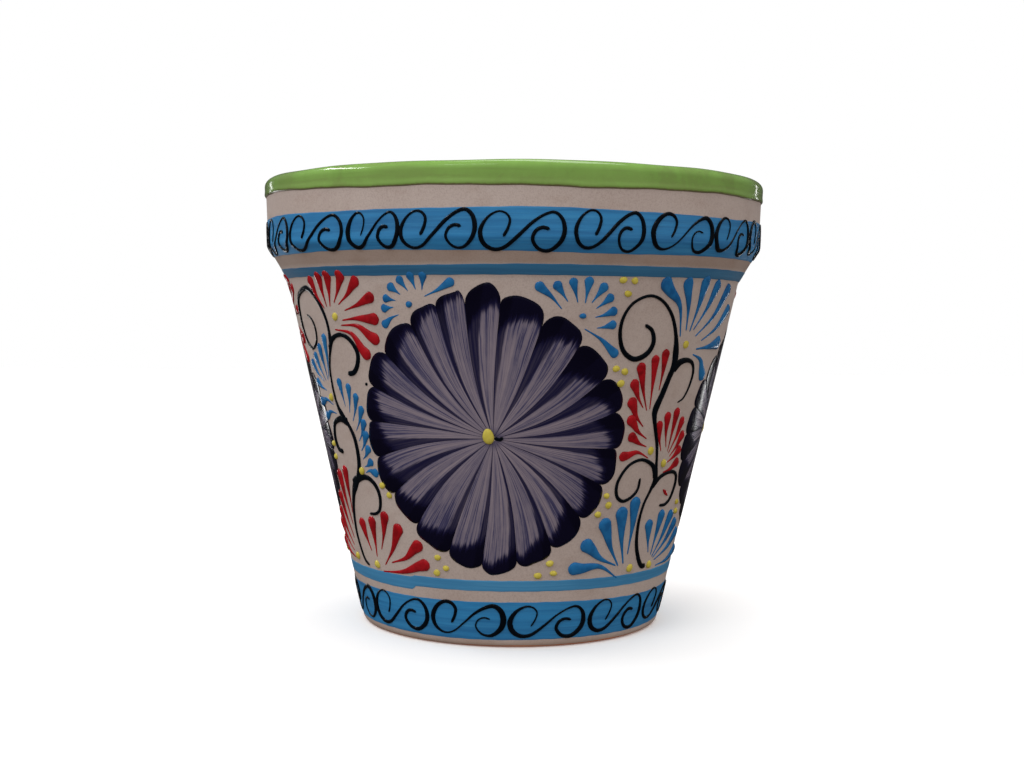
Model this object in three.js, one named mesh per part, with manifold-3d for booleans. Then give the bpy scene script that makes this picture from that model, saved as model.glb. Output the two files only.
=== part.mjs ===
// A hand-painted clay flower pot: a fired cone with a collar rim, a ground coat of slip,
// brushed colour bands, two large and two small flowers, and raised enamel scrolls and vines.
// Millimetres, +Z up, origin at the centre of the foot. Angles run from -Y towards +X.

import * as THREE from 'three';
import { mergeVertices } from 'three/addons/utils/BufferGeometryUtils.js';
import Module from 'manifold-3d';

const wasm = await Module();
wasm.setup();

// the thrown pot
const rimDiameter = 254;
const footDiameter = 151.4;
const potHeight = 222;
const collarHeight = 33.3;
const shoulderHeight = 16.6;
const collarOverhang = 9.8;
const collarFlare = 1.3;
const wallThickness = 10;
const lipWidth = 11;
const floorThickness = 12;
const drainDiameter = 22;
const lipRadius = 4.2;
const collarCornerRadius = 6;
const footCornerRadius = 2;

// the layers on the clay, each with a clear gap to what lies under it
const layerGap = 0.3;
const slipThickness = 0.8;
const glazeThickness = 0.8;
const paintThickness = 0.5;
const enamelThickness = 1.2;
const slipReachInside = 14;
const glazeReachInside = 10;

// the colour bands: heights above the foot, above the neck, below the rim, or below the collar's corner
const glazeReachOutside = 11;
const collarBandDrop = 5.5;
const collarBandWidth = 18.2;
const neckStripeLift = 1;
const neckStripeWidth = 4.6;
const footBandBottom = 3.4;
const footBandWidth = 18.5;
const stripeBandGap = 5.8;
const footStripeWidth = 5.1;

// the flowers: margins are from the tallest petal to the edge of the painted panel
const petalCount = 21;
const petalNotch = 0.93;
const frontFlowerAngle = -6;
const frontFlowerHalfAngle = 36;
const frontFlowerMargin = 5.8;
const frontFlowerDrop = 2;
const sideFlowerAngle = 87;
const sideFlowerHalfAngle = 28;
const sideFlowerMargin = 17.6;
const sideFlowerDrop = 4;
const flowerCentreRadius = 3;
const flowerCentreHeight = 1.6;

// the enamel lines
const vineWidth = 2;
const vineAAngle = -52.5;
const vineBAngle = 45;
const collarScrollCount = 21;
const collarScrollTurn = 3;
const footScrollCount = 13;
const footScrollTurn = 13.5;
const scrollWidth = 2.2;
const scrollSpacing = 1.6;
const scrollBandMargin = 0.6;

// how finely round shapes are cut into flat faces
const turnSegments = 40;
const cornerSteps = 2;
const petalFacets = 3;
const flowerRingWidth = 10.5;
const scrollStepLength = 2.8;
const vineStepLength = 9;
const beadSegments = 10;
const slopeSpan = 1;
const roundingError = 1e-6;

const rimRadius = rimDiameter / 2 - glazeThickness - layerGap;
const footRadius = footDiameter / 2;
const slipTop = potHeight - glazeThickness - layerGap;
const collarCornerHeight = potHeight - collarHeight;
const neckHeight = collarCornerHeight - shoulderHeight;
const collarCornerOuterRadius = rimRadius - collarFlare;
const neckRadius = collarCornerOuterRadius - collarOverhang;
const panelBottom = footBandBottom + footBandWidth + stripeBandGap + footStripeWidth;
const panelTop = neckHeight + neckStripeLift;
const panelHeight = panelTop - panelBottom;
const collarBandBottom = collarCornerHeight - collarBandDrop;
const radians = THREE.MathUtils.degToRad;

const colours = {
  terracotta: { color: 0xb56a48, roughness: 0.9, metalness: 0 },
  slip: { color: 0xcdbfb6, roughness: 0.75, metalness: 0 },
  green: { color: 0x7fb045, roughness: 0.18, metalness: 0 },
  blue: { color: 0x2f86bd, roughness: 0.5, metalness: 0 },
  skyBlue: { color: 0x4ba3d3, roughness: 0.5, metalness: 0 },
  flower: { color: 0x4a4470, roughness: 0.55, metalness: 0 },
  yellow: { color: 0xd9cc3a, roughness: 0.3, metalness: 0 },
  black: { color: 0x0b1216, roughness: 0.2, metalness: 0 },
};

const pot = new THREE.Group();

function addPiece(name, geometry, look) {
  const piece = new THREE.Mesh(geometry, new THREE.MeshStandardMaterial(colours[look]));
  piece.name = name;
  pot.add(piece);
}

// Rounds the corner between two straight runs with an arc of the given radius.
function roundedCorner(before, corner, after, radius) {
  const back = before.clone().sub(corner).normalize();
  const ahead = after.clone().sub(corner).normalize();
  const halfAngle = Math.acos(back.dot(ahead)) / 2;
  const reach = radius / Math.tan(halfAngle);
  const centre = back.clone().add(ahead).normalize().multiplyScalar(radius / Math.sin(halfAngle)).add(corner);
  const start = back.multiplyScalar(reach).add(corner).sub(centre).angle();
  const end = ahead.multiplyScalar(reach).add(corner).sub(centre).angle();
  const sweep = THREE.MathUtils.euclideanModulo(end - start + Math.PI, 2 * Math.PI) - Math.PI;
  const arc = [];
  for (let step = 0; step <= cornerSteps; step += 1) {
    const angle = start + sweep * step / cornerSteps;
    arc.push(new THREE.Vector2(Math.cos(angle), Math.sin(angle)).multiplyScalar(radius).add(centre));
  }
  return arc;
}

function bodyRadius(height) {
  return THREE.MathUtils.mapLinear(height, 0, neckHeight, footRadius, neckRadius);
}

// The bare clay inside: a cone from the floor, one wall in from the outside, up to the lip.
function cavityRadius(height) {
  const floorRadius = bodyRadius(floorThickness) - wallThickness;
  const mouthRadius = rimRadius - lipWidth + slipThickness + layerGap;
  return THREE.MathUtils.mapLinear(height, floorThickness, slipTop, floorRadius, mouthRadius);
}

// Half section of the slip's outer surface: up the outside, over the lip, down the inside.
function surfaceSection() {
  const base = new THREE.Vector2(bodyRadius(footCornerRadius), footCornerRadius);
  const neck = new THREE.Vector2(neckRadius, neckHeight);
  const collarCorner = new THREE.Vector2(collarCornerOuterRadius, collarCornerHeight);
  const outerLip = new THREE.Vector2(rimRadius, slipTop);
  const slipEnd = potHeight - slipReachInside;
  const innerLip = new THREE.Vector2(cavityRadius(slipTop) - slipThickness - layerGap, slipTop);
  const inside = new THREE.Vector2(cavityRadius(slipEnd) - slipThickness - layerGap, slipEnd);
  return [
    base,
    neck,
    ...roundedCorner(neck, collarCorner, outerLip, collarCornerRadius),
    ...roundedCorner(collarCorner, outerLip, innerLip, lipRadius),
    ...roundedCorner(outerLip, innerLip, inside, lipRadius),
    inside,
  ];
}

const surface = surfaceSection();
const lipIndex = surface.findIndex((point) => point.y > slipTop - roundingError);

// Moves every point of an open outline sideways, so that each straight run shifts by the distance.
function offsetOutline(points, distance) {
  return points.map((point, index) => {
    const before = points[Math.max(index - 1, 0)];
    const after = points[Math.min(index + 1, points.length - 1)];
    const inRun = (index > 0 ? point.clone().sub(before) : after.clone().sub(point)).normalize();
    const isLast = index === points.length - 1;
    const outRun = (isLast ? point.clone().sub(before) : after.clone().sub(point)).normalize();
    const mitre = new THREE.Vector2(inRun.y + outRun.y, -inRun.x - outRun.x).normalize();
    const share = mitre.dot(new THREE.Vector2(inRun.y, -inRun.x));
    return mitre.multiplyScalar(distance / share).add(point);
  });
}

function crossing(lower, upper, height) {
  const share = (height - lower.y) / (upper.y - lower.y);
  return new THREE.Vector2().lerpVectors(lower, upper, share);
}

// The stretch of the surface from one height outside to another height, outside or inside.
function surfaceStretch(fromHeight, toHeight, endsInside) {
  const stretch = [];
  for (let index = 0; index < surface.length - 1; index += 1) {
    const [here, next] = [surface[index], surface[index + 1]];
    const goingUp = index < lipIndex;
    if (goingUp && here.y <= fromHeight && next.y > fromHeight) {
      stretch.push(crossing(here, next, fromHeight));
    }
    const pastStart = !goingUp || here.y > fromHeight;
    const beforeEnd = endsInside ? goingUp || here.y > toHeight : goingUp && here.y < toHeight;
    if (pastStart && beforeEnd) {
      stretch.push(here.clone());
    }
    if (!endsInside && goingUp && here.y < toHeight && next.y >= toHeight) {
      stretch.push(crossing(here, next, toHeight));
    }
    if (endsInside && !goingUp && here.y > toHeight && next.y <= toHeight) {
      stretch.push(crossing(here, next, toHeight));
    }
  }
  return stretch;
}

// Turns a closed half section about the pot's axis.
function turned(section) {
  const geometry = new THREE.LatheGeometry([...section, section[0].clone()], turnSegments);
  return geometry.rotateX(Math.PI / 2);
}

// A coat that follows a stretch of the surface, lifted off it and of even thickness.
function coat(stretch, lift, thickness) {
  const outer = offsetOutline(stretch, lift + thickness);
  const inner = offsetOutline(stretch, lift);
  return turned([...outer, ...inner.reverse()]);
}

function surfaceRadius(height) {
  for (let index = 0; index < lipIndex; index += 1) {
    const [lower, upper] = [surface[index], surface[index + 1]];
    if (height >= lower.y && height <= upper.y) {
      return crossing(lower, upper, height).x;
    }
  }
  return bodyRadius(height);
}

// Wraps a flat piece (x along the girth, y up, z outwards) round the pot, lifted off the slip.
function wrapped(geometry, angle, height, lift) {
  const places = geometry.attributes.position;
  for (let index = 0; index < places.count; index += 1) {
    const level = height + places.getY(index);
    const radius = surfaceRadius(level);
    const rise = surfaceRadius(level + slopeSpan) - surfaceRadius(level - slopeSpan);
    const outward = new THREE.Vector2(2 * slopeSpan, -rise).setLength(lift + places.getZ(index));
    const turn = radians(angle) + places.getX(index) / radius;
    const reach = radius + outward.x;
    places.setXYZ(index, reach * Math.sin(turn), -reach * Math.cos(turn), level + outward.y);
  }
  return geometry;
}

function clayBody() {
  const outer = offsetOutline(surfaceStretch(footCornerRadius, potHeight - slipReachInside, true),
    -slipThickness - layerGap);
  const cavityFoot = new THREE.Vector2(cavityRadius(floorThickness), floorThickness);
  const under = new THREE.Vector2(outer[0].x, 0);
  const drain = new THREE.Vector2(drainDiameter / 2, 0);
  const footCorner = roundedCorner(drain, under, outer[0], footCornerRadius - layerGap);
  const section = [
    drain,
    ...footCorner,
    ...outer,
    cavityFoot,
    new THREE.Vector2(drainDiameter / 2, floorThickness),
  ];
  addPiece('clay_body', turned(section), 'terracotta');
}

function slipCoat() {
  const stretch = surfaceStretch(footCornerRadius, potHeight - slipReachInside, true);
  addPiece('slip_coat', coat(stretch, -slipThickness, slipThickness), 'slip');
}

function rimGlaze() {
  const stretch = surfaceStretch(potHeight - glazeReachOutside, potHeight - glazeReachInside, true);
  addPiece('rim_glaze', coat(stretch, layerGap, glazeThickness), 'green');
}

function colourBand(name, bottom, width, look) {
  const stretch = surfaceStretch(bottom, bottom + width, false);
  addPiece(name, coat(stretch, layerGap, paintThickness), look);
}

// A flower is a thin painted disc with one scallop for each petal, and a bead of yellow on it.
function flower(name, angle, halfAngle, margin, drop) {
  const height = (panelBottom + panelTop) / 2 - drop;
  const tall = panelHeight / 2 - drop - margin;
  const wide = radians(halfAngle) * surfaceRadius(height);
  const rings = Math.ceil(Math.max(wide, tall) / flowerRingWidth);
  const section = [new THREE.Vector2(0, 0)];
  for (let ring = 1; ring <= rings; ring += 1) {
    section.push(new THREE.Vector2(ring / rings, 0));
  }
  for (let ring = rings; ring >= 0; ring -= 1) {
    section.push(new THREE.Vector2(ring / rings, paintThickness));
  }
  const disc = new THREE.LatheGeometry(section, petalCount * petalFacets).rotateX(Math.PI / 2);
  const places = disc.attributes.position;
  for (let index = 0; index < places.count; index += 1) {
    const facet = Math.floor(index / section.length);
    const reach = facet % petalFacets === 0 ? petalNotch : 1;
    places.setX(index, places.getX(index) * wide * reach);
    places.setY(index, places.getY(index) * tall * reach);
  }
  addPiece(name, wrapped(disc, angle, height, layerGap), 'flower');

  const dome = [new THREE.Vector2(0, 0)];
  for (let step = 0; step <= cornerSteps; step += 1) {
    const swing = Math.PI / 2 * step / cornerSteps;
    const across = step === cornerSteps ? 0 : flowerCentreRadius * Math.cos(swing);
    dome.push(new THREE.Vector2(across, flowerCentreHeight * Math.sin(swing)));
  }
  const bead = new THREE.LatheGeometry(dome, beadSegments).rotateX(Math.PI / 2);
  addPiece(`${name}_centre`, wrapped(bead, angle, height, 2 * layerGap + paintThickness), 'yellow');
}

// A raised line along a flat curve: its section is a low ridge, standing on the flat.
function enamelLine(points, width, stepLength) {
  const curve = new THREE.CatmullRomCurve3(points.map(([x, y]) => new THREE.Vector3(x, y, 0)));
  const ridge = new THREE.Shape([
    new THREE.Vector2(0, -width / 2),
    new THREE.Vector2(0, width / 2),
    new THREE.Vector2(-enamelThickness, 0),
  ]);
  const steps = Math.ceil(curve.getLength() / stepLength);
  return new THREE.ExtrudeGeometry(ridge, { steps, extrudePath: curve, bevelEnabled: false });
}

function toManifold(geometry) {
  geometry.deleteAttribute('normal');
  geometry.deleteAttribute('uv');
  const merged = mergeVertices(geometry);
  return new wasm.Manifold(new wasm.Mesh({
    numProp: 3,
    vertProperties: new Float32Array(merged.attributes.position.array),
    triVerts: new Uint32Array(merged.index.array),
  }));
}

function fromManifold(solid) {
  const mesh = solid.getMesh();
  const geometry = new THREE.BufferGeometry();
  geometry.setAttribute('position', new THREE.BufferAttribute(mesh.vertProperties, 3));
  geometry.setIndex(new THREE.BufferAttribute(mesh.triVerts, 1));
  return geometry;
}

// The stems' points are degrees from the vine's own line and shares of the panel's height.
const vineA = {
  stem: [
    [-10.5, 0.87], [-7, 0.8], [-12.5, 0.755], [-16.6, 0.82], [-14.5, 0.93], [-8, 0.955], [-2.5, 0.91],
    [0, 0.8], [-2.8, 0.7], [-3.4, 0.59], [0.5, 0.5], [3, 0.42], [1.5, 0.33], [-3.5, 0.28], [-7, 0.18],
    [-7.2, 0.08], [-4, 0.03],
  ],
  tendrils: [
    [[-1, 0.76], [5, 0.8], [10.3, 0.75], [9, 0.69], [5.5, 0.67]],
    [[-0.5, 0.51], [-5, 0.51], [-9, 0.45], [-7.5, 0.4], [-5.2, 0.4]],
    [[0, 0.31], [5, 0.32], [9, 0.27], [7.5, 0.205], [3.5, 0.19]],
  ],
};
const vineB = {
  stem: [
    [-12, 0.845], [-8.5, 0.79], [-13, 0.735], [-18.2, 0.8], [-16.5, 0.91], [-11, 0.935], [-5, 0.89],
    [-1, 0.8], [0, 0.71], [-3, 0.57], [-2.5, 0.5], [0, 0.41], [1.5, 0.31], [-2, 0.22], [-1.5, 0.11],
    [2, 0.03], [5.5, 0.02],
  ],
  tendrils: [
    [[0, 0.71], [6, 0.725], [9.6, 0.67], [8.5, 0.61], [5.2, 0.585]],
    [[1, 0.36], [-6, 0.395], [-12.8, 0.33], [-11, 0.265], [-6.5, 0.28], [-4.8, 0.33]],
    [[1.5, 0.3], [7, 0.345], [13.5, 0.325], [14, 0.27], [11, 0.23], [7, 0.23]],
  ],
};

// One vine: the stem and its tendrils are joined flat, then wrapped on the pot.
function vine(name, angle, plan) {
  const flatten = ([degrees, share]) => {
    const y = share * panelHeight;
    return [radians(degrees) * surfaceRadius(panelBottom + y), y];
  };
  const lines = [plan.stem, ...plan.tendrils].map((points) => (
    toManifold(enamelLine(points.map(flatten), vineWidth, vineStepLength))
  ));
  const joined = lines.reduce((whole, line) => whole.add(line));
  addPiece(name, wrapped(fromManifold(joined), angle, panelBottom, layerGap), 'black');
}

// One S lying on its side: its points are shares of the scroll's half length and half height.
const scrollPlan = [
  [-0.42, -0.25], [-0.3, 0.65], [-0.55, 1], [-0.9, 0.6], [-1, -0.25], [-0.75, -0.9], [-0.3, -0.75],
  [0.15, 0.3], [0.62, 1], [1, 0.35], [0.85, -0.65], [0.45, -1], [0.17, -0.45], [0.38, 0.12], [0.62, -0.05],
];

function scrollRow(name, count, turn, bottom, height) {
  const middle = bottom + height / 2;
  const girth = 2 * Math.PI * surfaceRadius(bottom);
  const halfLength = (girth / count - scrollSpacing - scrollWidth) / 2;
  const halfHeight = height / 2 - scrollBandMargin - scrollWidth / 2;
  const points = scrollPlan.map(([x, y]) => [x * halfLength, y * halfHeight]);
  for (let index = 0; index < count; index += 1) {
    const line = enamelLine(points, scrollWidth, scrollStepLength);
    const lift = 2 * layerGap + paintThickness;
    const label = String(index + 1).padStart(2, '0');
    addPiece(`${name}_${label}`, wrapped(line, turn + 360 / count * index, middle, lift), 'black');
  }
}

clayBody();
slipCoat();
rimGlaze();
colourBand('collar_band', collarBandBottom, collarBandWidth, 'blue');
colourBand('neck_stripe', panelTop, neckStripeWidth, 'blue');
colourBand('foot_stripe', panelBottom - footStripeWidth, footStripeWidth, 'skyBlue');
colourBand('foot_band', footBandBottom, footBandWidth, 'blue');

flower('front_flower', frontFlowerAngle, frontFlowerHalfAngle, frontFlowerMargin, frontFlowerDrop);
flower('right_flower', sideFlowerAngle, sideFlowerHalfAngle, sideFlowerMargin, sideFlowerDrop);
flower('back_flower', frontFlowerAngle + 180, frontFlowerHalfAngle, frontFlowerMargin, frontFlowerDrop);
flower('left_flower', sideFlowerAngle + 180, sideFlowerHalfAngle, sideFlowerMargin, sideFlowerDrop);

vine('front_left_vine', vineAAngle, vineA);
vine('front_right_vine', vineBAngle, vineB);
vine('back_right_vine', vineAAngle + 180, vineA);
vine('back_left_vine', vineBAngle + 180, vineB);

scrollRow('collar_scroll', collarScrollCount, collarScrollTurn, collarBandBottom, collarBandWidth);
scrollRow('foot_scroll', footScrollCount, footScrollTurn, footBandBottom, footBandWidth);

export default pot;
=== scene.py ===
import math
import random

import bpy
import numpy as np
from mathutils import Matrix, Vector


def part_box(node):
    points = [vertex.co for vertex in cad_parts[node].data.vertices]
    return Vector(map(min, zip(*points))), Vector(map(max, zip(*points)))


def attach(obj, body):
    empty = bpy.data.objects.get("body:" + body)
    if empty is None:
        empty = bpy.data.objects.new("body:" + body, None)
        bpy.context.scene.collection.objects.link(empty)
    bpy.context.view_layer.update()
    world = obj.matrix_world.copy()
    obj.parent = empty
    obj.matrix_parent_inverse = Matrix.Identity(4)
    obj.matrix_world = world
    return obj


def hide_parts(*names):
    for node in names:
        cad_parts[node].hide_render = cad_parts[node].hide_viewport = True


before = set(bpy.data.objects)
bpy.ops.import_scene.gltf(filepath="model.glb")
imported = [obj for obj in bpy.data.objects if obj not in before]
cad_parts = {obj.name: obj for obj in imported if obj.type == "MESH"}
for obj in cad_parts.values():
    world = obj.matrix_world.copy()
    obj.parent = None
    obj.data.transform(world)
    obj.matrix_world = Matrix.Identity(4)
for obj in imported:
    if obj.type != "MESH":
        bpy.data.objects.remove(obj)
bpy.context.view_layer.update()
mm = 0.001
random.seed(11)


cameraSetup = {
    "distance": 0.7294,          # in front of the pot's axis
    "height": 0.157,
    "pitchDown": 2.91,           # degrees
    "roll": 0.49,                # degrees, the camera was held a little crooked
    "lens": 49.54,
    "sensor": 36.0,
}


def makeCamera():
    data = bpy.data.cameras.new("camera")
    data.lens = cameraSetup["lens"]
    data.sensor_width = cameraSetup["sensor"]
    camera = bpy.data.objects.new("camera", data)
    camera.location = (0, -cameraSetup["distance"], cameraSetup["height"])
    pitch = math.radians(90 - cameraSetup["pitchDown"])
    camera.rotation_euler = (pitch, 0, 0)
    bpy.context.scene.collection.objects.link(camera)
    bpy.context.view_layer.update()
    roll = math.radians(cameraSetup["roll"])
    camera.matrix_world = camera.matrix_world @ Matrix.Rotation(roll, 4, "Z")
    bpy.context.scene.camera = camera


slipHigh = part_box("slip_coat")[1]
facetLoss = 0.28                 # the CAD slip is cut into flats, so its box is this much narrower
lipRaise = 0.8                   # the slip is raised here, under a glaze thinner than the CAD one
potShape = {                     # millimetres, to the outside of the slip
    "rimRadius": slipHigh[0] / mm + facetLoss,
    "collarRadius": 124.7,       # at the collar's lower corner
    "neckRadius": 114.8,
    "footRadius": 75.7,
    "neckHeight": 172.1,
    "collarCorner": 188.7,
    "top": slipHigh[2] / mm + lipRaise,
    "lipWidth": 11.0,
    "floorRadius": 68.4,
    "floorHeight": 12.0,
    "drainRadius": 11.0,
    "lipRound": 3.4,
    "collarRound": 5.0,
    "neckRound": 2.5,
    "footRound": 2.6,
    "insideDepth": 14.0,
    "outlineStep": 0.25,
    "wobble": 0.35,              # out of round, more towards the top
    "wobbleWaves": ((0.6, 2, 0.7), (0.3, 3, 2.1)),
    "rimHeave": 0.45,            # up and down
    "heaveWaves": ((0.7, 1, 0.4), (0.3, 4, 1.0)),
}


def waves(angle, *terms):        # each term is a size, a count round the pot and a phase
    return sum(size * np.sin(count * angle + phase) for size, count, phase in terms)


def fromEnds(s, start, end):
    return np.minimum(s - start, end - s)


def levels(node):                  # a CAD node's lowest and highest level, in millimetres
    low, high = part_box(node)
    return low[2] / mm, high[2] / mm


def nodePlace(node):               # the direction and height of a CAD node's middle
    low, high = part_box(node)
    x, y, z = ((a + b) / 2 / mm for a, b in zip(low, high))
    return math.degrees(math.atan2(x, -y)), z


def arcCorner(before, corner, after, radius, steps=10):
    before, corner, after = (np.array(p, float) for p in (before, corner, after))
    back = (before - corner) / np.linalg.norm(before - corner)
    ahead = (after - corner) / np.linalg.norm(after - corner)
    half = math.acos(float(np.clip(back @ ahead, -1, 1))) / 2
    middle = (back + ahead) / np.linalg.norm(back + ahead)
    centre = corner + middle * radius / math.sin(half)
    start = corner + back * radius / math.tan(half) - centre
    end = corner + ahead * radius / math.tan(half) - centre
    turn = math.atan2(start[0] * end[1] - start[1] * end[0], start @ end)
    points = []
    for step in range(steps + 1):
        c, s = math.cos(turn * step / steps), math.sin(turn * step / steps)
        turned = (c * start[0] - s * start[1], s * start[0] + c * start[1])
        points.append((centre[0] + turned[0], centre[1] + turned[1]))
    return points


def insideRadius(z):
    p = potShape
    spread = p["rimRadius"] - p["lipWidth"] - p["floorRadius"]
    return p["floorRadius"] + spread * (z - p["floorHeight"]) / (p["top"] - p["floorHeight"])


def outlinePoints():
    p = potShape
    foot = (p["footRadius"], 0.0)
    neck = (p["neckRadius"], p["neckHeight"])
    corner = (p["collarRadius"], p["collarCorner"])
    rim = (p["rimRadius"], p["top"])
    mouth = (insideRadius(p["top"]), p["top"])
    low = p["top"] - p["insideDepth"]
    inside = (insideRadius(low), low)
    points = arcCorner((0, 0), foot, neck, p["footRound"])
    points += arcCorner(foot, neck, corner, p["neckRound"])
    points += arcCorner(neck, corner, rim, p["collarRound"])
    points += arcCorner(corner, rim, mouth, p["lipRound"], 16)
    points += arcCorner(rim, mouth, inside, p["lipRound"], 16)
    points.append(inside)
    return np.array(points)


def resample(points, spacing):
    lengths = np.concatenate([[0], np.cumsum(np.linalg.norm(np.diff(points, axis=0), axis=1))])
    count = int(lengths[-1] / spacing) + 1
    s = np.linspace(0, lengths[-1], count)
    return s, np.stack([np.interp(s, lengths, points[:, k]) for k in range(points.shape[1])], 1)


class Surface:
    def __init__(self):
        self.s, points = resample(outlinePoints(), potShape["outlineStep"])
        self.r, self.z = points[:, 0], points[:, 1]
        dr, dz = np.gradient(self.r), np.gradient(self.z)
        size = np.hypot(dr, dz)
        self.nr, self.nz = dz / size, -dr / size
        self.lip = int(np.argmax(self.z))

    def along(self, z):
        z = np.asarray(z, float)
        return np.interp(z, self.z[:self.lip], self.s[:self.lip])

    def alongInside(self, z):
        return np.interp(-np.asarray(z, float), -self.z[self.lip:], self.s[self.lip:])

    def radius(self, z):
        return np.interp(z, self.z[:self.lip], self.r[:self.lip])


surface = Surface()


def settle(angle, r, z):         # the slight wobble of a hand-made pot, the same for every layer
    p = potShape
    up = np.clip(z / p["top"], 0, 1)
    push = p["wobble"] * waves(angle, *p["wobbleWaves"]) * (0.4 + 0.6 * up)
    lift = p["rimHeave"] * up ** 4 * waves(angle, *p["heaveWaves"])
    push = push * np.clip((r - 20) / 40, 0, 1)
    r, z = r + push, z + lift
    return np.stack([r * np.sin(angle), -r * np.cos(angle), z], -1) * mm


def onSurface(angle, s, lift):
    r = np.interp(s, surface.s, surface.r) + lift * np.interp(s, surface.s, surface.nr)
    z = np.interp(s, surface.s, surface.z) + lift * np.interp(s, surface.s, surface.nz)
    return settle(angle, r, z)


def makeMesh(name, verts, faces, attributes=None):
    data = bpy.data.meshes.new(name)
    data.from_pydata(np.asarray(verts).tolist(), [], faces)
    for key, values in (attributes or {}).items():
        layer = data.attributes.new(key, "FLOAT", "POINT")
        layer.data.foreach_set("value", np.asarray(values, np.float32))
    data.validate()
    data.polygons.foreach_set("use_smooth", [True] * len(data.polygons))
    piece = bpy.data.objects.new(name, data)
    bpy.context.scene.collection.objects.link(piece)
    return piece


def ringFaces(rows, columns, closedRows, flip=False):
    # columns close on themselves, rows only if asked
    faces = []
    lastRow = rows if closedRows else rows - 1
    for i in range(lastRow):
        for j in range(columns):
            a, b = i * columns + j, i * columns + (j + 1) % columns
            c, d = (i + 1) % rows * columns + (j + 1) % columns, (i + 1) % rows * columns + j
            faces.append((a, d, c, b) if flip else (a, b, c, d))
    return faces


def turnedPiece(name, section, columns=256):
    section = np.asarray(section, float)
    angle = np.linspace(0, 2 * math.pi, columns, endpoint=False)
    grid = settle(angle[None, :], section[:, 0][:, None], section[:, 1][:, None])
    return makeMesh(name, grid.reshape(-1, 3), ringFaces(len(section), columns, True))


def coatPiece(name, startOf, endOf, liftOf, rows, back=0.15, columns=360, thinOf=None):
    # a layer on the surface between two wavy edges, each given as a length along the outline
    angle = np.linspace(0, 2 * math.pi, columns, endpoint=False)
    share = 0.5 - 0.5 * np.cos(np.linspace(0, math.pi, rows))
    start, end = startOf(angle), endOf(angle)
    s = start[None, :] + (end - start)[None, :] * share[:, None]
    lift = liftOf(s, start[None, :], end[None, :], angle[None, :])
    top = onSurface(np.broadcast_to(angle, s.shape), s, lift)
    under = onSurface(np.broadcast_to(angle, s.shape), s[::-1], np.full_like(s, -back))
    verts = np.concatenate([top, under]).reshape(-1, 3)
    attributes = {}
    if thinOf is not None:
        thin = thinOf(s, start[None, :], end[None, :])
        attributes["thin"] = np.concatenate([thin, thin[::-1]]).reshape(-1)
    return makeMesh(name, verts, ringFaces(2 * rows, columns, True), attributes)


def splineThrough(points, spacing):
    # a smooth curve through the points, cut into equal steps
    pts = np.asarray(points, float)
    padded = np.vstack([2 * pts[0] - pts[1], pts, 2 * pts[-1] - pts[-2]])
    fine = []
    for i in range(len(pts) - 1):
        p0, p1, p2, p3 = padded[i:i + 4]
        for t in np.linspace(0, 1, 24, endpoint=False):
            bend = 2 * p0 - 5 * p1 + 4 * p2 - p3
            twist = 3 * p1 - p0 - 3 * p2 + p3
            fine.append(0.5 * ((2 * p1) + (p2 - p0) * t + bend * t * t + twist * t ** 3))
    fine.append(pts[-1])
    s, out = resample(np.array(fine), spacing)
    return s / s[-1], out, s[-1]


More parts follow.
